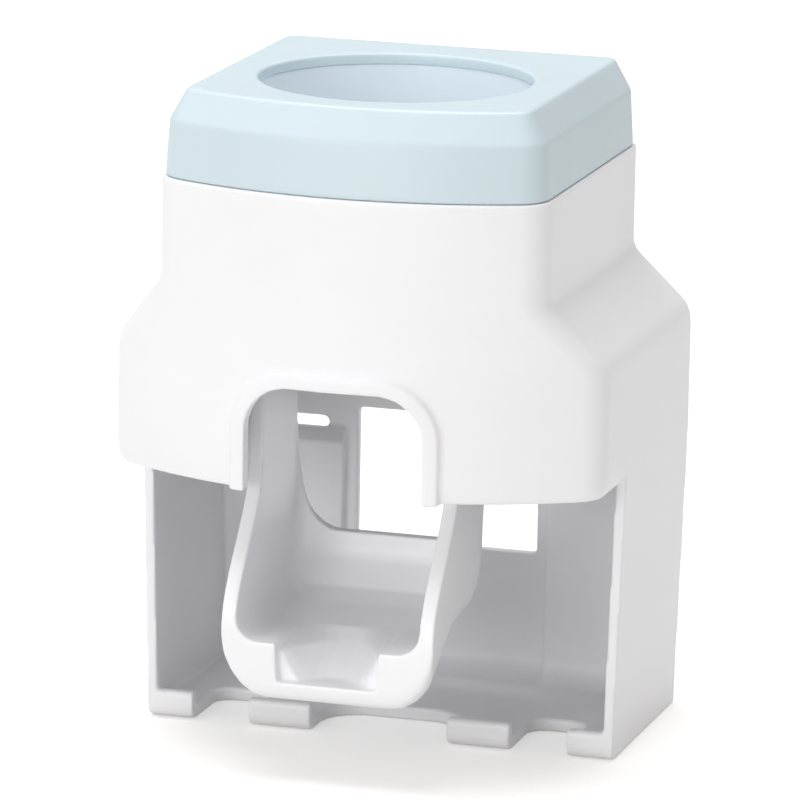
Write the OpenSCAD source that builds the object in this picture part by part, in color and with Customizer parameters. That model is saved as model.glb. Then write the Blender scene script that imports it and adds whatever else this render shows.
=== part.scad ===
// Wall toothpaste dispenser with a push lever and two brush bays.
// Millimetres. The origin is on the base plane, in the middle of the width and depth: +X right,
// +Y to the wall, +Z up. The pieces are drawn round the pump axis and then moved to the origin.

/* [Overall] */
// Height from the base to the top of the cap
overall_h = 146; // [140:1:160]
// Width across the shoulders of the hood
hood_w = 109.8; // [106:0.5:118]
// Width of the neck under the cap
neck_w = 86.4; // [84:0.2:92]
// Width across the feet of the side walls
foot_w = 106.2; // [102:0.5:109]
// Depth from the wall to the foremost point of the hood
hood_d = 90.6; // [88:0.5:98]
// Radius of the bowed front, seen from above
bow_r = 93; // [86:1:130]
// Radius of the upright front corners
corner_r = 9; // [6:0.5:12]
// Distance from the wall to the pump axis
axis_d = 47.5; // [46:0.5:49]
// Radius of the neck's upright back corners
back_r = 8; // [4:0.5:10]
// Wall thickness of the housing
wall = 2.4; // [2:0.1:2.8]

/* [Housing] */
// Height of the housing's rim, where the cap sits
rim_z = 127; // [125:0.5:129]
// Height where the shoulder slope meets the neck
neck_z = 104.4; // [102:0.5:107]
// Height where the shoulder slope begins
shoulder_z = 90.4; // [87:0.5:93]
// Rounding of the shoulder's edge
shoulder_round = 8; // [4:0.5:10]
// Fillet where the shoulder meets the neck
neck_fillet = 6; // [4:0.5:9]
// Height of the hood's lower edge
hood_z = 62.2; // [59:0.2:66]
// Height of the hood's rounded hem
hem_h = 4.5; // [3:0.5:7]
// How far the hem turns in
hem_in = 2; // [1:0.1:2]
// Depth of the side walls and shelf from the wall
side_d = 53.2; // [50:0.5:55]
// Half the width of the plain centre panel between the raised bay backs
bay_x = 23.8; // [22.5:0.1:25.5]
// How far the bay backs stand forward
bay_step = 2.8; // [2.2:0.1:5]
// Height of the raised bay backs
bay_top = 53.8; // [50:0.5:56]
// Width of the window in the back
window_w = 42; // [34:0.5:44]
// Height of the window's sill
window_z = 31.8; // [26:0.5:36]
// Height of the window
window_h = 30; // [24:0.5:34]

/* [Wall slots] */
// Distance between the two hanging slots
hang_spacing = 69; // [64:0.5:72]
// Length of a hanging slot
hang_len = 13; // [10:0.5:15]
// Width of a hanging slot
hang_w = 2.7; // [2.2:0.1:3.6]
// Height of the hanging slots
hang_z = 57.8; // [56:0.2:62]

/* [Arch] */
// Clear width of the arch in the hood
arch_w = 39.4; // [34:0.2:41]
// Height of the arch's top
arch_z = 85.6; // [80:0.5:88]
// Corner radius of the arch
arch_r = 10; // [6:0.5:14]
// Width of the bead round the arch
bead_w = 3.4; // [2:0.1:4]
// How far the bead stands proud of the hood
bead_proud = 1.4; // [0.6:0.1:2]

/* [Base shelf] */
// Thickness of the base shelf
shelf_t = 3; // [2.4:0.1:4]
// Radius of the cove between back and shelf
cove_r = 5; // [3:0.5:8]
// Height of the front lips
lip_h = 6.2; // [5.5:0.1:8]
// Thickness of the front lips
lip_t = 3.4; // [2.4:0.1:5]
// Rounding under the front lips
lip_round = 2.6; // [1:0.1:3]
// Distance of a brush slot from the middle
slot_x = 36.3; // [34:0.1:38]
// Width of a brush slot
slot_w = 12.8; // [10:0.2:14]
// Depth of a brush slot
slot_d = 19; // [14:0.5:24]
// Corner radius of a brush slot
slot_r = 4; // [2:0.5:5]
// Width of the recess in the middle of the shelf
recess_w = 31; // [24:0.5:34]
// Depth of the recess in the middle of the shelf
recess_d = 17.5; // [10:0.5:22]
// Corner radius of the recess
recess_r = 9; // [4:0.5:11]

/* [Cap] */
// Radius of the tube opening
tube_r = 29.65; // [27:0.05:30]
// Height of the cap's upright band
band_h = 12.2; // [10:0.1:14]
// How far the band leans in over its height
band_draft = 0.8; // [0.2:0.1:1.2]
// How far the chamfer goes in
chamfer_in = 3.8; // [2:0.1:4.6]
// Step from the housing in to the cap
cap_set = 0.7; // [0.3:0.1:1.2]
// Thickness of the cap's top
cap_top_t = 2.5; // [2:0.1:3.2]
// Wall thickness of the cap
cap_wall = 2; // [1.6:0.1:2.3]
// Length of the cap's spigot inside the housing
spigot_h = 5; // [3:0.5:6]

/* [Tube sleeve] */
// Step from the tube opening out to the sleeve's bore
sleeve_step = 0.35; // [0.2:0.05:0.5]
// Wall thickness of the sleeve
sleeve_t = 1.2; // [1:0.1:1.4]
// Width of the sleeve's flange
flange_w = 1.7; // [1.2:0.1:2]
// Thickness of the sleeve's flange
flange_t = 1.6; // [1.2:0.1:2]
// Height where the sleeve's cone begins
cone_z = 131; // [129:0.5:133]
// Radius of the sleeve's mouth over the seal
mouth_r = 19.5; // [18.8:0.1:23]

/* [Pump] */
// Height of the frame deck's underside
deck_z = 112; // [110:0.5:113]
// Thickness of the frame's deck
deck_t = 3; // [2.4:0.1:3.4]
// Radius of the bellows' outer folds
bellows_r = 10.8; // [9.5:0.1:11]
// Number of bellows folds
fold_n = 4; // [3:1:5]
// Wall thickness of the bellows
bellows_t = 0.9; // [0.7:0.1:1.2]
// Radius of the presser's disc
presser_r = 15; // [14.6:0.1:15.2]
// Height of the presser's top face at rest
presser_z = 91; // [90:0.5:92]
// Thickness of the presser's disc
presser_t = 2.8; // [2.4:0.1:3.2]
// Wall of the guide skirt
skirt_t = 1.8; // [1.4:0.1:2]
// Wire diameter of the return spring
wire_d = 1.2; // [0.8:0.1:1.4]
// Number of turns of the return spring
turn_n = 5; // [4:1:6]
// Radius of the seal's neck bore
neck_bore_r = 4.8; // [4:0.1:5.4]
// Radius of the paste passage
port_r = 3.2; // [2.6:0.1:3.6]
// Length of the outlet spout under its cup
spout_l = 3; // [2:0.5:4]

/* [Lever] */
// Width over the lever's two arms
lever_w = 47.2; // [44:0.2:48]
// Wall thickness of the lever
lever_t = 3.2; // [2.6:0.1:3.4]
// Height of the lever's pivot
pivot_z = 98; // [97:0.5:99]
// Distance of the pivot in front of the pump axis
pivot_d = 14; // [13:0.5:16]
// Radius of the pivot pins
pin_r = 2; // [1.5:0.1:2.4]
// Running clearance of the pins in the lever
pin_gap = 0.05; // [0.02:0.01:0.1]
// Radius of the boss round a pin
boss_r = 6.5; // [5:0.5:7]
// Distance of the cam in front of the pump axis
cam_d = 1.6; // [1:0.1:3]
// Radius of the cam
cam_r = 4; // [3:0.1:4.2]
// Distance of the scoop's front from the pump axis
scoop_d = 44.2; // [41:0.2:46]
// Height of the scoop's lowest point
scoop_z = 17; // [16:0.2:20]
// Height of the scoop's front wall
front_z = 30; // [28:0.2:33]
// Height of the scoop's back wall
back_z = 44.6; // [42:0.2:50]
// Width of the brush notch in the front wall
notch_w = 22.2; // [16:0.2:26]
// Height of the channel behind the notch
notch_z = 21.6; // [21.6:0.1:25]
// Rounding along the scoop's lower edges
scoop_r = 10; // [6:0.5:10]
// How far the scoop's back stands behind the arms
scoop_back = 4.8; // [2:0.2:6]
// Rounding inside the scoop where its back meets the arms
chute_r = 3; // [2:0.5:5]
// Height of the thin flanges that run up the arms from the scoop's back
flange_h = 24; // [10:1:28]
// Distance of the arms' front edge from the pump axis
arm_front_d = 26.4; // [23:0.2:28]
// Distance of the arms' rear edge from the pump axis
arm_back_d = 2; // [1:0.1:4]
// Distance of the stop legs behind the pump axis
leg_d = 6.4; // [6.2:0.1:7]
// Height of the stop legs' lower ends
leg_z = 73.4; // [70:0.5:78]

/* [Hidden] */
$fn = 72;
eps = 0.01;

// Gap between pieces that seat on each other
seat = 0.3;
// Step from the pump axis to the middle of the depth, which is the origin
centre_y = axis_d - (hood_d + bead_proud) / 2;
back_y = axis_d;
front_y = back_y - hood_d;
bow_y = front_y + bow_r;
side_y = back_y - side_d;
hood_hw = hood_w / 2;
neck_hw = neck_w / 2;
corner_n = 8;
back_n = 3;
bow_n = 32;
fillet_n = 4;

// Screw bosses in the neck
screw_boss_r = 3.6;
ear_r = 4;
screw_x = neck_hw - wall - ear_r - 0.4;
screw_front_y = front_y + 28;
screw_back_y = back_y - wall - 9;
boss_len = 12;
pilot_r = 1.2;
shank_r = 1.15;
shank_l = 9;
head_r = 2.9;
head_t = 2;
hole_r = 1.7;

// Pump stack, from the deck up
deck_top = deck_z + deck_t;
collar_r = 15;
collar_bore = 12.2;
collar_h = 4.4;
seal_t = 1.6;
seal_top = deck_top + collar_h + seal_t;
ring_wall = 2.4;
ring_gap = 0.15;
ring_r = collar_r + ring_gap + ring_wall;
ring_lip_t = 1.3;

// Pump stack, from the presser down
skirt_r = presser_r + seat;
skirt_z = presser_z - presser_t - 1.2;
lug_w = 7;
lug_x = lever_w / 2 - lever_t - 0.6;
cam_top = presser_z - presser_t - seat;
cam_z = cam_top - cam_r;
cam_x = skirt_r + skirt_t + 0.4;
cam_inset = 0.8;
outlet_boss_r = 6;
outlet_boss_l = 5;
cup_t = 1.8;
cup_floor_t = 1.4;
valve_t = 1;
cup_gap = 0.1;
cup_z = presser_z - presser_t - outlet_boss_l - valve_t - 2 * cup_gap - cup_floor_t;
spring_r = (skirt_r + bellows_r) / 2 + 0.15;

// Lever
arm_in = lever_w / 2 - lever_t;
cheek_gap = 0.6;
cheek_in = lever_w / 2 + cheek_gap;
cheek_t = 2.8;
flare_top = 65;
flare_bottom = 33;
flare_n = 12;
round_n = 5;
pocket_n = 4;
chute_n = 8;
flange_n = 4;
boss_n = 8;
arm_top = cam_z + 2;

function unit(v) = v / norm(v);

// Arc that rounds the corner q between p and s
function fillet(p, q, s, r, n) =
  let (u = unit(p - q), v = unit(s - q), half = acos(u * v) / 2, m = q + unit(u + v) * (r / sin(half)),
       a = q + u * (r / tan(half)) - m, b = q + v * (r / tan(half)) - m,
       start = atan2(a[1], a[0]), raw = atan2(b[1], b[0]) - start,
       sweep = raw > 180 ? raw - 360 : (raw < -180 ? raw + 360 : raw))
  [for (i = [0:n]) m + r * [cos(start + sweep * i / n), sin(start + sweep * i / n)]];

// Quarter of a circle round the back right corner, and its mirror image
function back_corner(hw, rear, r, z) =
  [for (i = [0:back_n]) let (a = 90 - 90 * i / back_n) [hw - r + r * cos(a), rear - r + r * sin(a), z]];

// Bowed outline at height z, from the back right corner round the front to the back left corner.
// hw is half its width, inset is how far the bow lies inside the hood's front, rr rounds the back.
function outline(hw, inset, rear, z, rr) =
  let (r = bow_r - inset, rc = max(corner_r - inset, 2), cx = hw - rc,
       cy = bow_y - sqrt(pow(r - rc, 2) - cx * cx), turn = atan2(bow_y - cy, cx),
       right = back_corner(hw, rear, max(rr - inset, 0.5), z))
  concat(
    right,
    [for (i = [0:corner_n]) let (a = -turn * i / corner_n) [cx + rc * cos(a), cy + rc * sin(a), z]],
    [for (i = [1:bow_n - 1]) let (a = -turn - (180 - 2 * turn) * i / bow_n)
      [r * cos(a), bow_y + r * sin(a), z]],
    [for (i = [0:corner_n]) let (a = -180 + turn - turn * i / corner_n)
      [-cx + rc * cos(a), cy + rc * sin(a), z]],
    [for (i = [back_n:-1:0]) [-right[i][0], right[i][1], z]]);

// Twice the area of a triangle in side view, positive where it turns anticlockwise
function turn(a, b, c) = (b[1] - a[1]) * (c[2] - a[2]) - (b[2] - a[2]) * (c[1] - a[1]);

// Whether corner i of the outline, whose corners left are k, can be cut off clear of the others
function is_ear(ring, k, i) =
  let (n = len(k), a = ring[k[(i + n - 1) % n]], b = ring[k[i]], c = ring[k[(i + 1) % n]], least = 1e-7)
  turn(a, b, c) > least && len([for (j = [2:1:n - 2]) let (q = ring[k[(i + j) % n]])
    if (min(turn(a, b, q), turn(b, c, q), turn(c, a, q)) > -least) q]) == 0;

// Triangles that fill a side view of any shape
function side_triangles(ring, k, i = 0) =
  let (n = len(k))
  n == 3 ? [k] : (i == n ? [] : (!is_ear(ring, k, i) ? side_triangles(ring, k, i + 1) :
    concat([[k[(i + n - 1) % n], k[i], k[(i + 1) % n]]],
           side_triangles(ring, [for (j = [0:n - 1]) if (j != i) k[j]]))));

// Solid through a stack of outlines with equal numbers of points. The ends are filled as one convex
// face, or in triangles where they are side views.
module loft(rings, side_view = false) {
  n = len(rings[0]);
  top = len(rings) - 1;
  all = [for (i = [0:n - 1]) i];
  first_end = side_view ? side_triangles(rings[0], all) : [all];
  last_end = side_view ? side_triangles(rings[top], all) : [all];
  polyhedron(
    points = [for (ring = rings) each ring],
    faces = concat(
      [for (face = first_end) [for (i = [len(face) - 1:-1:0]) face[i]]],
      [for (j = [0:top - 1], i = [0:n - 1]) let (k = (i + 1) % n) [j * n + i, j * n + k, (j + 1) * n + k]],
      [for (j = [0:top - 1], i = [0:n - 1]) let (k = (i + 1) % n)
        [j * n + i, (j + 1) * n + k, (j + 1) * n + i]],
      [for (face = last_end) [for (i = face) top * n + i]]));
}

// Extrudes an outline drawn in X and Z along Y
module along_y(y0, y1) {
  translate([0, y1, 0]) rotate([90, 0, 0]) linear_extrude(y1 - y0) children();
}

// Extrudes an outline drawn in Y and Z along X
module along_x(x0, x1) {
  translate([x0, 0, 0]) rotate([90, 0, 90]) linear_extrude(x1 - x0) children();
}

module on_both_sides() {
  children();
  mirror([1, 0, 0]) children();
}

// Ring of revolution from its radii and heights
module ring(r_in, r_out, z0, z1) {
  translate([0, 0, z0]) difference() {
    cylinder(r = r_out, h = z1 - z0);
    translate([0, 0, -1]) cylinder(r = r_in, h = z1 - z0 + 2);
  }
}

// Upright slab with a rounded top, for the arch
module arch_shape(hw, top, r, bottom) {
  translate([-hw, bottom]) square([2 * hw, top - r - bottom]);
  translate([-(hw - r), bottom]) square([2 * (hw - r), top - bottom]);
  for (s = [-1, 1]) translate([s * (hw - r), top - r]) circle(r);
}

// Rectangle with two rounded corners at its far end, for slots in the shelf
module notch_shape(w, d, r) {
  translate([-w / 2, -1]) square([w, d - r + 1]);
  translate([-(w / 2 - r), -1]) square([w - 2 * r, d + 1]);
  for (s = [-1, 1]) translate([s * (w / 2 - r), d - r]) circle(r);
}

// Trapezoid that follows the leaning side walls, inset by a wall
module foot_shape(inset, z0, z1) {
  foot_z = hood_z + hem_h;
  half_at = function (z) foot_w / 2 + (hood_w - foot_w) / 2 * z / foot_z - inset;
  polygon([[-half_at(z0), z0], [half_at(z0), z0], [half_at(z1), z1], [-half_at(z1), z1]]);
}

// Half width and height of the hood's side line, from hem to rim, at a depth inside the skin
function hood_line(d) =
  let (lean = atan2(hood_hw - neck_hw, neck_z - shoulder_z), drop = d * tan(lean / 2),
       low = [hood_hw - d, hood_z + hem_h], knee = [hood_hw - d, shoulder_z - drop],
       waist = [neck_hw - d, neck_z - drop], high = [neck_hw - d, rim_z])
  concat([low], fillet(low, knee, waist, shoulder_round - d, fillet_n),
         fillet(knee, waist, high, neck_fillet + d, fillet_n), [high]);

// Rounding of the back corners, which grows up the shoulder
function back_round(z) =
  let (t = min(max((z - shoulder_z) / (neck_z - shoulder_z), 0), 1)) 1 + (back_r - 1) * t * t * (3 - 2 * t);

module hood_skin() {
  hem = [for (i = [0:3]) let (a = 90 * i / 4) [hem_in * (1 - sin(a)), hood_z + hem_h * (1 - cos(a))]];
  loft(concat(
    [for (h = hem) outline(hood_hw - h[0], h[0], back_y, h[1], 1)],
    [for (p = hood_line(0)) outline(p[0], 0, back_y, p[1], back_round(p[1]))]));
}

module hood_void() {
  rear = back_y - wall;
  loft(concat(
    [outline(hood_hw - wall, wall, rear, hood_z - 1, 1)],
    [for (p = hood_line(wall)) outline(p[0], wall, rear, p[1], back_round(p[1]))],
    [outline(neck_hw - wall, wall, rear, rim_z + 1, back_r)]));
}

// Side walls, back and shelf below the hood
module lower_shell() {
  top = hood_z + hem_h;
  difference() {
    along_y(side_y, back_y) foot_shape(0, 0, top);
    along_y(side_y - 1, back_y - wall) foot_shape(wall, shelf_t, top + eps);
  }
}

// Raised back of a brush bay, hollow behind, with a sloping top
module bay_back() {
  face = back_y - wall;
  rise = bay_step * 1.3;
  intersection() {
    along_y(side_y, back_y) foot_shape(wall / 2, 0, hood_z);
    on_both_sides() along_x(bay_x, hood_hw)
      polygon([[face - bay_step, shelf_t / 2], [face + wall / 2, shelf_t / 2],
               [face + wall / 2, bay_top + rise], [face, bay_top + rise], [face - bay_step, bay_top]]);
  }
}

module bay_hollow() {
  intersection() {
    along_y(back_y - bay_step, back_y + 1) foot_shape(2 * wall, shelf_t + wall, bay_top - wall);
    on_both_sides() translate([bay_x + wall, 0, 0]) cube([hood_hw, back_y + 2, hood_z]);
  }
}

// Cove between the back wall and the shelf
module cove(y, x0, x1) {
  along_x(x0, x1) translate([y, shelf_t]) difference() {
    translate([-cove_r, -eps]) square([cove_r + eps, cove_r]);
    translate([-cove_r, cove_r]) circle(cove_r);
  }
}

module coves() {
  face = back_y - wall;
  inner = foot_w / 2 - wall + 0.3;
  cove(face, -bay_x - eps, bay_x + eps);
  on_both_sides() cove(face - bay_step, bay_x, inner);
}

// Row of upturned lips along the front edge, and the cuts between them
module lips() {
  inner = foot_w / 2 - wall + 0.4;
  tip = 1;
  along_x(-inner, inner) translate([side_y, 0]) {
    square([lip_t, lip_h - tip]);
    translate([tip, 0]) square([lip_t - 2 * tip, lip_h]);
    for (y = [tip, lip_t - tip]) translate([y, lip_h - tip]) circle(tip);
  }
}

module shelf_cuts() {
  translate([0, side_y, -1]) linear_extrude(lip_h + 2) {
    notch_shape(recess_w, recess_d, recess_r);
    for (s = [-1, 1]) translate([s * slot_x, 0]) notch_shape(slot_w, slot_d, slot_r);
  }
  along_x(-hood_hw, hood_hw) translate([side_y, 0]) difference() {
    translate([-1, -1]) square([lip_round + 1, lip_round + 1]);
    translate([lip_round, lip_round]) circle(lip_round);
  }
}

// Bead that follows the bow round the arch
module arch_bead() {
  intersection() {
    translate([0, bow_y, hood_z - 1]) difference() {
      cylinder(r = bow_r + bead_proud, h = arch_z, $fn = 180);
      translate([0, 0, -1]) cylinder(r = bow_r - wall * 0.8, h = arch_z + 2, $fn = 180);
    }
    along_y(front_y - bead_proud - 1, side_y) difference() {
      arch_shape(arch_w / 2 + bead_w, arch_z + bead_w, arch_r + bead_w, hood_z);
      arch_shape(arch_w / 2, arch_z, arch_r, hood_z - 1);
    }
  }
}

module screw_places() {
  for (x = [-screw_x, screw_x], y = [screw_front_y, screw_back_y]) translate([x, y, 0]) children();
}

module hang_slots() {
  for (x = [-hang_spacing / 2, hang_spacing / 2]) translate([x, 0, 0])
    along_y(back_y - wall - 1, back_y + 1) translate([0, hang_z]) {
      square([hang_len - hang_w, hang_w], center = true);
      for (s = [-1, 1]) translate([s * (hang_len - hang_w) / 2, 0]) circle(hang_w / 2);
    }
}

module housing() {
  color([0.95, 0.95, 0.96]) difference() {
    union() {
      difference() {
        hood_skin();
        hood_void();
      }
      lower_shell();
      bay_back();
      coves();
      lips();
      arch_bead();
      screw_places() {
        translate([0, 0, deck_z - boss_len]) cylinder(r = screw_boss_r, h = boss_len);
        translate([0, 0, deck_z - boss_len - 5]) cylinder(r1 = 1, r2 = screw_boss_r, h = 5);
      }
      // Webs that tie the bosses to the neck's sides
      on_both_sides() for (y = [screw_front_y, screw_back_y])
        translate([screw_x, y - 1.2, deck_z - boss_len]) cube([ear_r + wall / 2 + 0.4, 2.4, boss_len - 0.5]);
    }
    along_y(front_y - 5, side_y - 6) arch_shape(arch_w / 2, arch_z, arch_r, hood_z - 5);
    translate([-window_w / 2, back_y - wall - 1, window_z]) cube([window_w, wall + 2, window_h]);
    bay_hollow();
    shelf_cuts();
    hang_slots();
    screw_places() translate([0, 0, deck_z - boss_len + 1]) cylinder(r = pilot_r, h = boss_len);
  }
}

// Cap: leaning band, chamfer and flat top round the tube opening
module cap_skin(d, low, high) {
  inset = function (z) cap_set + d + (z <= rim_z + band_h ? band_draft * max(z - rim_z, 0) / band_h
    : band_draft + chamfer_in * (z - rim_z - band_h) / (overall_h - rim_z - band_h));
  loft([for (z = [low, rim_z + band_h, high])
    outline(neck_hw - inset(z), inset(z), back_y - inset(z), z, back_r)]);
}

module top_cap() {
  spigot_gap = 0.3;
  spigot_in = wall + spigot_gap;
  spigot_out = spigot_in + 1.6;
  rib_r = tube_r + sleeve_step + sleeve_t + flange_w + 0.1;
  color([0.78, 0.87, 0.9]) difference() {
    union() {
      difference() {
        cap_skin(0, rim_z, overall_h);
        cap_skin(cap_wall, rim_z - 1, overall_h - cap_top_t);
      }
      difference() {
        loft([for (z = [rim_z - spigot_h, rim_z + 2])
          outline(neck_hw - spigot_in, spigot_in, back_y - spigot_in, z, back_r)]);
        loft([for (z = [rim_z - spigot_h - 1, rim_z + 3])
          outline(neck_hw - spigot_out, spigot_out, back_y - spigot_out, z, back_r)]);
      }
      intersection() {
        ring(rib_r, rib_r + 1.4, overall_h - cap_top_t - flange_t - 1, overall_h - cap_top_t + eps);
        cap_skin(cap_wall / 2, rim_z, overall_h - cap_top_t / 2);
      }
    }
    translate([0, 0, overall_h - cap_top_t - 1]) cylinder(r = tube_r, h = cap_top_t + 2, $fn = 120);
  }
}

// Liner that guides the tube down to the seal
module tube_sleeve() {
  bore = tube_r + sleeve_step;
  top = overall_h - cap_top_t;
  mouth_z = deck_top + collar_h + seal_t + ring_lip_t - 0.2;
  color([0.86, 0.93, 0.97]) rotate_extrude($fn = 120) polygon([
    [bore, top], [bore + sleeve_t + flange_w, top], [bore + sleeve_t + flange_w, top - flange_t],
    [bore + sleeve_t, top - flange_t], [bore + sleeve_t, cone_z - 0.6], [mouth_r + sleeve_t, mouth_z],
    [mouth_r, mouth_z], [mouth_r, mouth_z + 0.8], [bore, cone_z]]);
}

// Frame: deck with ears, seal collar, guide skirt, cheeks for the pins and stop legs
module pump_frame() {
  deck_hw = 30;
  deck_front = screw_front_y - ear_r - 5;
  deck_back = screw_back_y;
  leg_t = 2.6;
  leg_in = 15;
  leg_r = 2.5;
  slot_top = presser_z + 6;
  color([0.9, 0.91, 0.92]) difference() {
    union() {
      translate([-deck_hw, deck_front, deck_z]) cube([2 * deck_hw, deck_back - deck_front, deck_t]);
      screw_places() translate([0, 0, deck_z]) cylinder(r = ear_r, h = deck_t);
      for (y = [screw_front_y, screw_back_y]) translate([-screw_x, y - ear_r, deck_z])
        cube([2 * screw_x, 2 * ear_r, deck_t]);
      translate([0, 0, deck_z]) cylinder(r = collar_r, h = deck_t + collar_h);
      translate([0, 0, skirt_z]) cylinder(r = skirt_r + skirt_t, h = deck_z - skirt_z + eps);
      on_both_sides() {
        along_x(cheek_in, cheek_in + cheek_t) {
          translate([-pivot_d, pivot_z]) circle(boss_r);
          polygon([[-pivot_d - boss_r, pivot_z], [-pivot_d + boss_r, pivot_z],
                   [-pivot_d + boss_r + 6, deck_z + eps], [-pivot_d - boss_r, deck_z + eps]]);
        }
        along_y(leg_d, leg_d + leg_t) {
          translate([leg_in, leg_z + leg_r])
            square([lever_w / 2 - leg_in, deck_z - leg_z - leg_r + eps]);
          translate([leg_in + leg_r, leg_z]) square([lever_w / 2 - leg_in - leg_r, leg_r + eps]);
          translate([leg_in + leg_r, leg_z + leg_r]) circle(leg_r);
        }
      }
    }
    translate([0, 0, deck_top]) cylinder(r = collar_bore, h = collar_h + 1);
    translate([0, 0, skirt_z - 1]) cylinder(r = skirt_r, h = deck_z - skirt_z + 1);
    for (s = [-1, 1]) translate([s * (skirt_r + skirt_t / 2) - 3, -lug_w / 2 - 0.5, skirt_z - 1])
      cube([6, lug_w + 1, slot_top - skirt_z + 1]);
    for (i = [0:5]) rotate([0, 0, 60 * i + 30]) translate([5, 0, deck_z - 1]) cylinder(r = 1.6, h = deck_t + 2);
    translate([0, 0, deck_z - 1]) cylinder(r = 1.3, h = deck_t + 2);
    translate([-cheek_in - cheek_t - 1, -pivot_d, pivot_z]) rotate([0, 90, 0])
      cylinder(r = pin_r + 0.02, h = 2 * (cheek_in + cheek_t + 1));
    screw_places() translate([0, 0, deck_z - 1]) cylinder(r = hole_r, h = deck_t + 2);
  }
}

// Silicone collar that grips the neck of the tube
module inlet_seal() {
  base = deck_top + collar_h;
  grip = 1.6;
  color([0.82, 0.84, 0.86]) rotate_extrude() polygon([
    [neck_bore_r + 3.2, base + seal_t], [collar_r - 0.2, base + seal_t], [collar_r - 0.2, base + 0.05],
    [neck_bore_r + grip + 2, base + 0.05], [neck_bore_r + grip, base - 1.4],
    [neck_bore_r + grip, deck_top + 1], [neck_bore_r, deck_top + 1], [neck_bore_r, base - 1.4]]);
}

// Screw ring that clamps the seal on the collar
module seal_ring() {
  low = deck_top + 1;
  color([0.93, 0.94, 0.95]) difference() {
    union() {
      translate([0, 0, low]) cylinder(r = ring_r, h = seal_top + ring_lip_t - low);
      for (i = [0:11]) rotate([0, 0, 30 * i]) translate([ring_r - 0.3, -0.8, low])
        cube([0.8, 1.6, seal_top + ring_lip_t - low - 1]);
    }
    translate([0, 0, low - 1]) cylinder(r = collar_r + ring_gap, h = seal_top + 0.05 - low + 1);
    translate([0, 0, seal_top - 1]) cylinder(r = 9.6, h = ring_lip_t + 2);
  }
}

// Umbrella valve: disc under the deck's ports, stem through the deck and a bulb that holds it
module inlet_valve() {
  disc_t = 0.8;
  color([0.75, 0.77, 0.8]) rotate_extrude() polygon([
    [0, deck_z - disc_t - 0.6], [2, deck_z - disc_t - 0.5], [7.2, deck_z - disc_t], [7.2, deck_z - 0.05],
    [1.2, deck_z - 0.05], [1.2, deck_top + 0.05], [1.9, deck_top + 0.3], [0.6, deck_top + 2.2],
    [0, deck_top + 2.2]]);
}

// Half section of the bellows, folded in and out between the presser and the deck
module squeeze_bellows() {
  low = presser_z + seat;
  high = deck_z - 0.05;
  foot = 1.2;
  pitch = (high - low - 2 * foot) / fold_n;
  deep = 2;
  zig = [for (i = [0:2 * fold_n]) [i % 2 == 0 ? bellows_r - deep : bellows_r, low + foot + pitch * i / 2]];
  color([0.86, 0.88, 0.9]) rotate_extrude() polygon(concat(
    [[bellows_r, low], [bellows_r, low + foot / 2]], zig, [[bellows_r, high - foot / 2], [bellows_r, high]],
    [for (p = [[bellows_r, high], [bellows_r, high - foot / 2]]) [p[0] - bellows_t - deep, p[1]]],
    [for (i = [2 * fold_n:-1:0]) [zig[i][0] - bellows_t, zig[i][1]]],
    [[bellows_r - bellows_t - deep, low + foot / 2], [bellows_r - bellows_t - deep, low]]));
}

// Compression spring round the bellows, with closed end turns
module return_spring() {
  side_n = 6;
  step_n = 16;
  rings_n = turn_n * step_n;
  low = presser_z + seat + wire_d / 2;
  high = deck_z - 0.05 - wire_d / 2;
  close = wire_d + 0.5;
  climb = function (t) t < 1 ? close * t
    : (t > turn_n - 1 ? high - low - close * (turn_n - t)
    : close + (high - low - 2 * close) * (t - 1) / (turn_n - 2));
  at = function (i, j) let (a = 360 * i / step_n, b = 360 * j / side_n, r = spring_r + wire_d / 2 * cos(b))
    [r * cos(a), r * sin(a), low + climb(i / step_n) + wire_d / 2 * sin(b)];
  color([0.7, 0.72, 0.74]) polyhedron(
    points = [for (i = [0:rings_n], j = [0:side_n - 1]) at(i, j)],
    faces = concat(
      [[for (j = [0:side_n - 1]) j]],
      [for (i = [0:rings_n - 1], j = [0:side_n - 1]) let (k = (j + 1) % side_n)
        [i * side_n + j, (i + 1) * side_n + j, (i + 1) * side_n + k]],
      [for (i = [0:rings_n - 1], j = [0:side_n - 1]) let (k = (j + 1) % side_n)
        [i * side_n + j, (i + 1) * side_n + k, i * side_n + k]],
      [[for (j = [side_n - 1:-1:0]) rings_n * side_n + j]]));
}

// Presser: disc that slides in the skirt, lugs for the cams and the outlet boss
module presser() {
  under = presser_z - presser_t;
  color([0.92, 0.93, 0.94]) difference() {
    union() {
      translate([0, 0, under]) cylinder(r = presser_r, h = presser_t);
      translate([-lug_x, -lug_w / 2, under]) cube([2 * lug_x, lug_w, presser_t]);
      translate([0, 0, under - outlet_boss_l]) cylinder(r = outlet_boss_r, h = outlet_boss_l + eps);
    }
    translate([0, 0, under - outlet_boss_l - 1]) cylinder(r = port_r, h = presser_t + outlet_boss_l + 2);
  }
}

// Duckbill valve: flange clamped under the boss, two lips that close below it
module outlet_valve() {
  top = presser_z - presser_t - outlet_boss_l - cup_gap;
  bill_r = port_r - 0.5;
  bill_t = 0.7;
  color([0.75, 0.77, 0.8]) {
    difference() {
      union() {
        translate([0, 0, top - valve_t]) cylinder(r = outlet_boss_r - 0.1, h = valve_t);
        translate([0, 0, top - valve_t - 2.4]) cylinder(r1 = bill_t + 0.3, r2 = bill_r, h = 2.4 + eps);
      }
      translate([0, 0, top - valve_t - 1.8]) cylinder(r1 = 0.4, r2 = bill_r - bill_t, h = valve_t + 1.8 + 0.1);
      translate([-bill_r / 2, -0.1, top - valve_t - 3]) cube([bill_r, 0.2, 2]);
    }
  }
}

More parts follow.
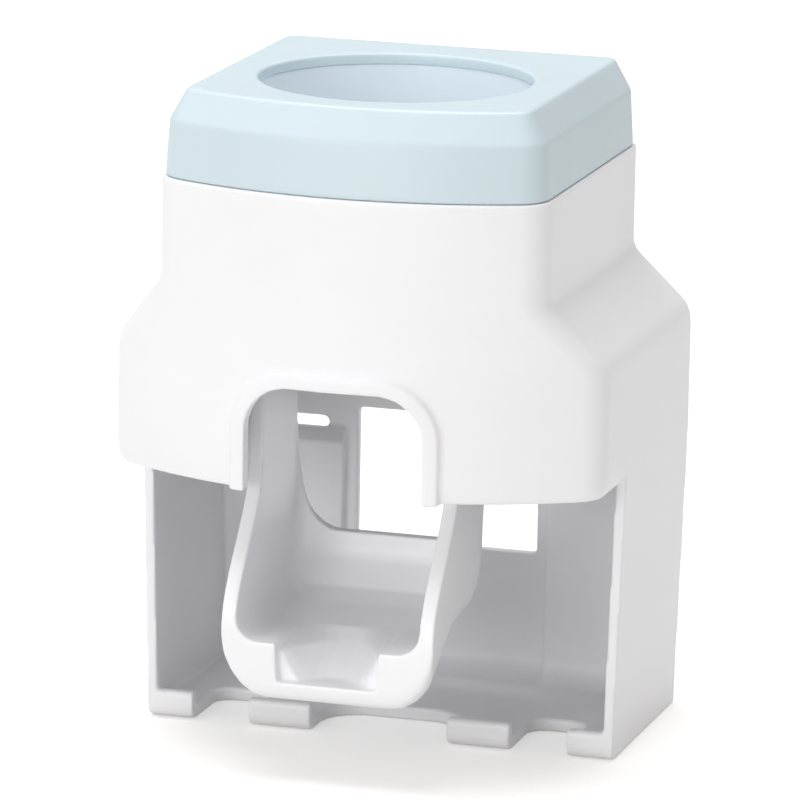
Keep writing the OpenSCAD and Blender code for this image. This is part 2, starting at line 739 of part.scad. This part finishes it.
// Screw cup that holds the valve under the presser, with the outlet spout
module outlet_nozzle() {
  top = presser_z - presser_t - 0.8;
  cup_r = outlet_boss_r + cup_gap + cup_t;
  spout_r = port_r + 1.6;
  color([0.95, 0.95, 0.96]) difference() {
    union() {
      translate([0, 0, cup_z]) cylinder(r = cup_r, h = top - cup_z);
      translate([0, 0, cup_z - spout_l]) cylinder(r1 = spout_r - 0.5, r2 = spout_r, h = spout_l + eps);
    }
    translate([0, 0, cup_z + cup_floor_t]) cylinder(r = outlet_boss_r + cup_gap, h = top);
    translate([0, 0, cup_z - spout_l - 1]) cylinder(r = port_r, h = top);
  }
}

// Distance of the scoop's front face in front of the axis at height z: arms, then a flare, then upright
function front_at(z) =
  let (t = min(max((flare_top - z) / (flare_top - flare_bottom), 0), 1))
  arm_front_d + (scoop_d - arm_front_d) * t * t * (3 - 2 * t);

// Corner q of a chain moved inside by d, square to the sides that meet there
function inset_corner(p, q, s, d) =
  let (u = unit(q - p), v = unit(s - q), m = [u[1] + v[1], -u[0] - v[0]]) q - m * (d / (1 + u * v));

// Underside and back of the scoop in side view, moved inside by d: heel, ridge under the pocket's end,
// bend up to the back wall, nape and crest
function scoop_under(d) =
  let (back = -arm_back_d, toe = [-scoop_d, scoop_z], heel = [-scoop_d + 6, scoop_z + 0.3],
       ridge = [back - 20.5, front_z - 2.6], bend = [back - 3.5, front_z - 0.7],
       nape = [back + scoop_back - 0.6, back_z - 6], crest = [back + scoop_back, back_z + 5.5],
       heel_in = inset_corner(toe, heel, ridge, d), ridge_in = inset_corner(heel, ridge, bend, d),
       bend_in = inset_corner(ridge, bend, nape, d), nape_in = inset_corner(bend, nape, crest, d))
  concat(
    fillet([-scoop_d - 20, scoop_z + d], heel_in, ridge_in, max(6 - d, 1), 3),
    fillet(heel_in, ridge_in, bend_in, 6 + d, 3),
    fillet(ridge_in, bend_in, nape_in, max(8 - d, 1), 4),
    fillet(bend_in, nape_in, crest - [d, 0], max(10 - d, 1), 3),
    [crest - [d, 0]]);

// Outer side view with its underside moved inside by d: front edge, underside, back, and the boss
// round the pivot
function scoop_side(d) =
  let (under = scoop_under(d), toe_r = max(0.8, min(3.5, 0.9 * (under[0][0] + scoop_d))), low = scoop_z + d + toe_r)
  concat(
    [[-arm_front_d, arm_top]],
    [for (i = [0:flare_n - 1]) let (z = flare_top - (flare_top - low) * i / flare_n) [-front_at(z), z]],
    fillet([-front_at(low), flare_top], [-front_at(low), scoop_z + d], under[0], toe_r, 4),
    under,
    [[-arm_back_d, back_z + flange_h + 3], [-arm_back_d, cam_z]],
    [for (i = [0:boss_n]) let (a = 45 + 135 * i / boss_n)
      [-pivot_d + boss_r * cos(a), pivot_z + boss_r * sin(a)]]);

// Rise of a rounded corner of radius r at distance g from its upright side
function corner_rise(r, g) = g < r ? r - sqrt(r * r - (r - g) * (r - g)) : 0;

// Side view of the space inside at distance x from the middle: pocket or ledge, chute, flange.
// The pocket behind the notch is a trough that narrows as the chute rises into it.
function cavity_side(x, top) =
  let (gap = arm_in - x, pocket_r = notch_w / 2, pocket = x <= pocket_r,
       chute_line = [for (p = scoop_under(lever_t + corner_rise(chute_r, gap))) [p[1], p[0]]],
       floor_line = [for (p = scoop_under(lever_t)) [p[1], p[0]]],
       low = front_z + corner_rise(5, gap), dip = corner_rise(pocket_r, pocket_r - x) * 2.1,
       rise = flange_h * (0.3 * pow(max(0, 1 - gap / 9), 2) + 0.7 * exp(-gap / 0.8)) + 0.2, rim = back_z + rise)
  concat(
    [[-scoop_d - 2, top], [-scoop_d - 2, pocket ? notch_z : low]],
    [for (i = [0:pocket_n - 1]) let (z = notch_z + (front_z - notch_z) * i / pocket_n)
      pocket ? [max(lookup(z, floor_line) - dip, -scoop_d + 2.6), z] : [-scoop_d + 1 + 0.4 * i, low]],
    [for (i = [0:chute_n]) let (z = low + (back_z - low) * i / chute_n) [lookup(z, chute_line), z]],
    [for (i = [1:flange_n]) let (z = back_z + rise * i / flange_n) [lookup(z, chute_line), z]],
    [[scoop_back + 2, rim], [scoop_back + 2, top]]);

// Slices from the middle outwards made into a row from the right side to the left
function mirrored(slices) = concat(
  [for (i = [len(slices) - 1:-1:0]) slices[i]],
  [for (one = slices) [-one[0], for (k = [1:len(one) - 1]) one[k]]]);

function at_x(x, side) = [for (p = side) [x, p[0], p[1]]];

module push_lever() {
  hw = lever_w / 2;
  color([0.96, 0.96, 0.97]) difference() {
    union() {
      difference() {
        loft([for (x = mirrored([for (i = [0:round_n]) let (a = 90 * i / round_n)
                [hw - scoop_r + scoop_r * sin(a), 1.25 * scoop_r * (1 - cos(a))]]))
          at_x(x[0], scoop_side(x[1]))], side_view = true);
        loft([for (x = mirrored(concat(
                [for (i = [0:6]) [notch_w / 2 * sin(10 + 80 * i / 6)]],
                [for (g = [arm_in - notch_w / 2 - 0.4, 7.4, 5.6, 4, 2.8, 1.8, 1, 0.4, 0]) [arm_in - g]])))
          at_x(x[0], cavity_side(abs(x[0]), pivot_z + boss_r + 1))], side_view = true);
      }
      on_both_sides() along_x(cam_x, hw - cam_inset) translate([-cam_d, cam_z]) circle(cam_r);
    }
    translate([-hw - 1, -pivot_d, pivot_z]) rotate([0, 90, 0]) cylinder(r = pin_r + pin_gap, h = lever_w + 2);
  }
}

// Headed pin through the cheek and the lever's arm
module pivot_pin(side) {
  inner = arm_in - 0.4;
  outer = cheek_in + cheek_t;
  color([0.72, 0.73, 0.75]) translate([side * inner, -pivot_d, pivot_z]) rotate([0, side * 90, 0]) {
    cylinder(r = pin_r, h = outer - inner + 0.3);
    translate([0, 0, outer - inner + 0.1]) cylinder(r1 = pin_r + 1.2, r2 = pin_r + 0.6, h = 1.2);
  }
}

module pivot_pin_left() {
  pivot_pin(-1);
}

module pivot_pin_right() {
  pivot_pin(1);
}

// Pan-head screws through the frame's ears into the housing's bosses
module frame_screws() {
  color([0.7, 0.71, 0.73]) screw_places() translate([0, 0, deck_top + 0.05]) difference() {
    union() {
      cylinder(r1 = head_r, r2 = head_r - 0.7, h = head_t);
      translate([0, 0, -shank_l]) cylinder(r = shank_r, h = shank_l + eps);
    }
    for (a = [0, 90]) rotate([0, 0, a]) translate([-1.5, -0.3, head_t - 0.9]) cube([3, 0.6, 1]);
  }
}

module placed() {
  translate([0, -centre_y, 0]) children();
}

placed() housing();
placed() top_cap();
placed() tube_sleeve();
placed() pump_frame();
placed() inlet_seal();
placed() seal_ring();
placed() inlet_valve();
placed() squeeze_bellows();
placed() return_spring();
placed() presser();
placed() outlet_valve();
placed() outlet_nozzle();
placed() push_lever();
placed() pivot_pin_left();
placed() pivot_pin_right();
placed() frame_screws();
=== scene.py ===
# %% [markdown]
# A wall toothpaste dispenser in moulded plastic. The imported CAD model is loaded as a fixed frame, in
# metres: +X to the right, +Y towards the wall, +Z up. Its solids have the right shape but no soft
# edges, so the four pieces that the eye meets first are evened here as a moulding is, and every piece
# gets a finish made of shader nodes.

# %% Load the frame
import math

import bmesh
import bpy
from mathutils import Matrix, Vector


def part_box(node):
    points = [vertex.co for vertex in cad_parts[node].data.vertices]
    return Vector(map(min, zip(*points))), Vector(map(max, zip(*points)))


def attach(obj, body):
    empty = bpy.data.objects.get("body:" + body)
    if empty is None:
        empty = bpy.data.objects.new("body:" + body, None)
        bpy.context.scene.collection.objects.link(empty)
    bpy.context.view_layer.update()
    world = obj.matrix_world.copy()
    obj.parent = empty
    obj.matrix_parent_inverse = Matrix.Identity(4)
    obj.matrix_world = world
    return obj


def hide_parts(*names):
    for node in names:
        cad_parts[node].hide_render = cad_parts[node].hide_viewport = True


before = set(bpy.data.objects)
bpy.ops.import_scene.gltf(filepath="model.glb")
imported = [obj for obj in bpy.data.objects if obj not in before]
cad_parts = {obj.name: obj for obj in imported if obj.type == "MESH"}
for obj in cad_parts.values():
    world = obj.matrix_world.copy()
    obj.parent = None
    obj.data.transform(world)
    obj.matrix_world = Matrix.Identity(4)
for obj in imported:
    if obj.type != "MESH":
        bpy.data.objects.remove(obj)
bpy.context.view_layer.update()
MM = 0.001
WHITE = (1, 1, 1, 1)
scene = bpy.context.scene
wall_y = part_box("housing")[1][1]
print("wall plane at y =", round(wall_y, 4))

# %% [markdown]
# The camera stands where the photograph was taken: a long lens, a little to the right and above, with
# a slight roll. It could be placed with a Track To constraint, but the roll is easier to give when its
# three axes are worked out once from the two angles.

# %% Camera
AZIMUTH, ELEVATION, ROLL = (math.radians(a) for a in (16.727, 12.878, 1.031))
DISTANCE = 1.4801
AIM_X, AIM_FROM_WALL, AIM_Z = -0.00119, 0.0365, 0.07241
LENS_MM, SENSOR_MM = 304.55, 36
NEAREST, FARTHEST = 0.1, 20

aim_at = Vector((AIM_X, wall_y - AIM_FROM_WALL, AIM_Z))
ahead = Vector((-math.sin(AZIMUTH) * math.cos(ELEVATION), math.cos(AZIMUTH) * math.cos(ELEVATION),
                -math.sin(ELEVATION)))
right = Vector((math.cos(AZIMUTH), math.sin(AZIMUTH), 0))
up = right.cross(ahead)
axis_x = right * math.cos(ROLL) + up * math.sin(ROLL)
axis_y = up * math.cos(ROLL) - right * math.sin(ROLL)

camera_data = bpy.data.cameras.new("camera")
camera_data.lens, camera_data.sensor_width = LENS_MM, SENSOR_MM
camera_data.clip_start, camera_data.clip_end = NEAREST, FARTHEST
camera = bpy.data.objects.new("camera", camera_data)
place = Matrix((axis_x, axis_y, -ahead)).transposed().to_4x4()
place.translation = aim_at - ahead * DISTANCE
camera.matrix_world = place
scene.collection.objects.link(camera)
scene.camera = camera
print("camera at", [round(v, 3) for v in place.translation])

# %% [markdown]
# Shader maths reads best as plain expressions. This small class wraps a socket, so that
# `drift * 0.7 + cloud * 0.3` adds its Math nodes by itself. One method, `node`, makes any other node:
# its settings are set first and then its values or links, where `i6` means the input numbered 6.

# %% Shader helper
class Sock:
    """A socket of a node tree, with arithmetic."""

    def __init__(self, tree, socket):
        self.tree, self.socket = tree, socket

    def node(self, kind, settings=None, out=0, **inputs):
        made = self.tree.nodes.new(kind)
        for key, value in (settings or {}).items():
            setattr(made, key, value)
        for key, value in inputs.items():
            numbered = key[0] == "i" and key[1:].isdigit()
            slot = made.inputs[int(key[1:]) if numbered else key.replace("_", " ")]
            if isinstance(value, Sock):
                self.tree.links.new(value.socket, slot)
            else:
                slot.default_value = value
        return Sock(self.tree, made.outputs[out] if made.outputs else None)

    def beside(self, name):
        """Another output of the node that this socket belongs to."""
        return Sock(self.tree, self.socket.node.outputs[name])

    def math(self, operation, other):
        return self.node("ShaderNodeMath", {"operation": operation}, i0=self, i1=other)

    def __add__(self, other):
        return self.math("ADD", other)

    def __mul__(self, other):
        return self.math("MULTIPLY", other)

    def between(self, low, high):
        return self.node("ShaderNodeMapRange", {"interpolation_type": "SMOOTHSTEP"}, Value=self,
                         From_Min=low, From_Max=high)

    def tint(self, dark, light):
        """A colour that goes from dark to light as this value goes from 0 to 1."""
        return self.node("ShaderNodeMix", {"data_type": "RGBA"}, out=2, i0=self,
                         i6=(*dark, 1), i7=(*light, 1))


def empty_tree(owner):
    owner.use_nodes = True
    owner.node_tree.nodes.clear()
    return Sock(owner.node_tree, None)


def new_material(name):
    material = bpy.data.materials.new(name + "_finish")
    start = empty_tree(material)
    point = start.node("ShaderNodeTexCoord", out="Object")
    return material, start, point


def noise(start, point, size_mm, detail):
    """Noise from 0 to 1 whose blotches are about size_mm across."""
    return start.node("ShaderNodeTexNoise", Vector=point, Scale=1 / (size_mm * MM), Detail=detail)


def srgb(*levels):
    """Linear colour from the 0-255 levels of a picture."""
    return tuple((v / 255 / 12.92) if v <= 10 else ((v / 255 + 0.055) / 1.055) ** 2.4 for v in levels)


# %% [markdown]
# Moulded plastic has a fine even grain from the tool, and is never one exact colour: it is a trace
# lighter where the melt ran thin, and its gloss varies a little from place to place. Noise of four
# sizes in Object coordinates gives all this, so it stays with the piece when it moves.

# %% Plastic finishes
DRIFT_MM, CLOUD_MM = 45, 6
COARSE_GRAIN_TIMES = 4
MORE, LESS = 0.7, 0.3
SHADE_SHIFT, GLOSS_SHIFT = 0.02, 0.05


def moulded_plastic(name, colour, roughness, grain_height_mm=0.012, grain_mm=0.35):
    material, start, point = new_material(name)
    drift = noise(start, point, DRIFT_MM, detail=1.0).between(0.3, 0.7)
    cloud = noise(start, point, CLOUD_MM, detail=3.0).between(0.25, 0.75)
    darker = tuple(c * (1 - SHADE_SHIFT) for c in colour)
    lighter = tuple(min(1, c * (1 + SHADE_SHIFT / 2)) for c in colour)
    shade = (drift * MORE + cloud * LESS).tint(darker, lighter)
    gloss = cloud * GLOSS_SHIFT + (roughness - GLOSS_SHIFT / 2)
    fine_grain = noise(start, point, grain_mm, detail=2.0)
    coarse_grain = noise(start, point, grain_mm * COARSE_GRAIN_TIMES, detail=1.0)
    bump = start.node("ShaderNodeBump", Strength=1.0, Distance=grain_height_mm * MM,
                      Height=fine_grain * MORE + coarse_grain * LESS)
    shader = start.node("ShaderNodeBsdfPrincipled", Base_Color=shade, Roughness=gloss, Normal=bump)
    start.node("ShaderNodeOutputMaterial", Surface=shader)
    return material


white_plastic = moulded_plastic("white_shell", srgb(245, 245, 247), 0.40)
lever_plastic = moulded_plastic("white_lever", srgb(247, 247, 249), 0.34)
cap_plastic = moulded_plastic("blue_cap", srgb(208, 224, 230), 0.42)
liner_plastic = moulded_plastic("clear_liner", srgb(233, 243, 250), 0.30)
frame_plastic = moulded_plastic("inner_frame", srgb(238, 237, 238), 0.45)
silicone = moulded_plastic("silicone", srgb(205, 208, 212), 0.62, grain_height_mm=0.02, grain_mm=0.6)

# %% [markdown]
# The spring, the pins and the screws are drawn steel: its noise is stretched along one axis, so that
# it runs in streaks, and these drive the colour, the gloss and a weak bump alike.

# %% Steel finish
STREAK_MM, STREAK_STRETCH = 0.4, 0.05
STREAK_BUMP, STREAK_HEIGHT_MM = 0.4, 0.01
SMOOTHEST, ROUGHNESS_SPAN = 0.22, 0.2
DARK_STEEL, LIGHT_STEEL = (0.42, 0.43, 0.45), (0.62, 0.63, 0.65)


def drawn_steel(name):
    material, start, point = new_material(name)
    drawn_out = start.node("ShaderNodeMapping", Vector=point, Scale=(1, 1, STREAK_STRETCH))
    streak = noise(start, drawn_out, STREAK_MM, detail=3.0)
    bump = start.node("ShaderNodeBump", Strength=STREAK_BUMP,
                      Distance=STREAK_HEIGHT_MM * MM, Height=streak)
    shader = start.node("ShaderNodeBsdfPrincipled", Metallic=1.0,
                        Base_Color=streak.tint(DARK_STEEL, LIGHT_STEEL),
                        Roughness=streak * ROUGHNESS_SPAN + SMOOTHEST, Normal=bump)
    start.node("ShaderNodeOutputMaterial", Surface=shader)
    return material


steel = drawn_steel("steel")

# %% [markdown]
# Every node of the frame gets its finish here. The four softened pieces below take theirs from the
# same table.

# %% Finishes on the nodes
FINISH = {"housing": white_plastic, "push_lever": lever_plastic, "top_cap": cap_plastic,
          "tube_sleeve": liner_plastic, "pump_frame": frame_plastic, "presser": frame_plastic,
          "inlet_seal": silicone, "seal_ring": frame_plastic, "inlet_valve": silicone,
          "squeeze_bellows": silicone, "outlet_valve": silicone, "outlet_nozzle": liner_plastic,
          "return_spring": steel, "pivot_pin_left": steel, "pivot_pin_right": steel, "frame_screws": steel}
for node, finish in FINISH.items():
    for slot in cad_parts[node].material_slots:
        slot.material = finish
print("finishes on", len(FINISH), "nodes")

# %% [markdown]
# The mouldings have no sharp edge anywhere, which a solid from CAD doesn't show. Bevels could be added
# edge by edge, but the shell's facets make that fragile. Here a copy of the solid is merged, cut
# anew into small even cells, relaxed so that each edge turns into a small round, and thinned, most
# of all where it is flat. The piece keeps its place and rides on its body. The shell is thinned the
# most, because it is the largest and a piece has to stay under 200,000 triangles.

# %% Softened mouldings
MERGE_WITHIN = 0.002 * MM
RELAX_STRENGTH = 0.5
LARGE_PIECE_CELL_MM = 0.45
SLEEVE_CELL_MM, LEVER_CELL_MM = 0.35, 0.4


def apply_modifiers(obj):
    graph = bpy.context.evaluated_depsgraph_get()
    mesh = bpy.data.meshes.new_from_object(obj.evaluated_get(graph))
    old = obj.data
    obj.modifiers.clear()
    obj.data = mesh
    bpy.data.meshes.remove(old)


def soften(node, body, name, cell_mm, passes, kept):
    bm = bmesh.new()
    bm.from_mesh(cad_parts[node].data)
    bmesh.ops.remove_doubles(bm, verts=bm.verts, dist=MERGE_WITHIN)
    mesh = bpy.data.meshes.new(name)
    bm.to_mesh(mesh)
    bm.free()
    piece = bpy.data.objects.new(name, mesh)
    scene.collection.objects.link(piece)
    remesh = piece.modifiers.new("cells", "REMESH")
    remesh.mode, remesh.voxel_size, remesh.use_smooth_shade = "VOXEL", cell_mm * MM, True
    relax = piece.modifiers.new("relax", "SMOOTH")
    relax.factor, relax.iterations = RELAX_STRENGTH, passes
    thin = piece.modifiers.new("thin", "DECIMATE")
    thin.ratio = kept
    apply_modifiers(piece)
    for face in piece.data.polygons:
        face.use_smooth = True
    piece.data.materials.clear()
    piece.data.materials.append(FINISH[node])
    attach(piece, body)
    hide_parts(node)
    print(name, len(piece.data.polygons), "faces")


soften("housing", "shell", "shell_moulding", LARGE_PIECE_CELL_MM, passes=7, kept=0.22)
soften("top_cap", "cap", "cap_moulding", LARGE_PIECE_CELL_MM, passes=7, kept=0.5)
soften("tube_sleeve", "cap", "sleeve_moulding", SLEEVE_CELL_MM, passes=4, kept=0.5)
soften("push_lever", "lever", "lever_moulding", LEVER_CELL_MM, passes=7, kept=0.6)

# %% [markdown]
# The floor is a plain pale sheet, large enough to fill the picture behind the object. Seen by the
# camera, also in a reflection or through a clear piece, it adds a little light of its own, so that it
# comes out white and still keeps the shadow.

# %% Floor
FLOOR_HALF, FLOOR_DROP = 4, 0.0002
FLOOR_GLOW = 0.42
FIBRE_MM = 3
PAPER_DARK, PAPER_LIGHT = (0.76, 0.75, 0.74), (0.77, 0.76, 0.75)

bm = bmesh.new()
bmesh.ops.create_grid(bm, x_segments=1, y_segments=1, size=FLOOR_HALF)
floor_mesh = bpy.data.meshes.new("floor")
bm.to_mesh(floor_mesh)
bm.free()
floor = bpy.data.objects.new("floor", floor_mesh)
scene.collection.objects.link(floor)
floor.location.z = -FLOOR_DROP
paper, start, point = new_material("paper")
by_camera = start.node("ShaderNodeLightPath", out="Is Camera Ray")
seen = by_camera + by_camera.beside("Is Glossy Ray") + by_camera.beside("Is Transmission Ray")
fibre = noise(start, point, FIBRE_MM, detail=3.0)
matt = start.node("ShaderNodeBsdfDiffuse", Color=fibre.tint(PAPER_DARK, PAPER_LIGHT))
glow = start.node("ShaderNodeEmission", Color=WHITE, Strength=seen.math("MINIMUM", 1.0) * FLOOR_GLOW)
lit_paper = start.node("ShaderNodeAddShader", i0=matt, i1=glow)
start.node("ShaderNodeOutputMaterial", Surface=lit_paper)
floor_mesh.materials.append(paper)

# %% [markdown]
# The light is that of a product studio: one soft box on the upper left, one low in front, which
# reaches into the bays, and one above. An even sky all round is a trace warm and fills the side that
# faces away from the lamps. The camera sees the sky as plain white.

# %% Lights
COOL, WARM = (0.96, 0.98, 1.0), (1.0, 0.985, 0.975)
SKY_COLOUR, SKY_STRENGTH = (1, 0.985, 0.97, 1), 0.50
MIDDLE = (0, 0, 0.07)


def soft_box(name, place, aim, size, watts, colour):
    data = bpy.data.lights.new(name, "AREA")
    data.shape, data.size, data.energy, data.color = "SQUARE", size, watts, colour
    lamp = bpy.data.objects.new(name, data)
    lamp.location = place
    lamp.rotation_euler = (Vector(aim) - Vector(place)).to_track_quat("-Z", "Y").to_euler()
    scene.collection.objects.link(lamp)


soft_box("key", (-0.9, -1.8, 0.9), MIDDLE, 1.3, 5, COOL)
soft_box("front", (-0.25, -1.9, 0.2), (0, 0, 0.04), 0.9, 12, WARM)
soft_box("top", (-0.2, 0.1, 1.9), MIDDLE, 1.2, 25, (0.97, 0.98, 1.0))

world = bpy.data.worlds.new("sky")
scene.world = world
sky = empty_tree(world)
by_camera = sky.node("ShaderNodeLightPath", out="Is Camera Ray")
warm_sky = sky.node("ShaderNodeBackground", Color=SKY_COLOUR, Strength=SKY_STRENGTH)
white_sky = sky.node("ShaderNodeBackground", Color=WHITE, Strength=1.0)
backdrop = sky.node("ShaderNodeMixShader", i0=by_camera, i1=warm_sky, i2=white_sky)
sky.node("ShaderNodeOutputWorld", Surface=backdrop)
scene.view_settings.view_transform = "Standard"
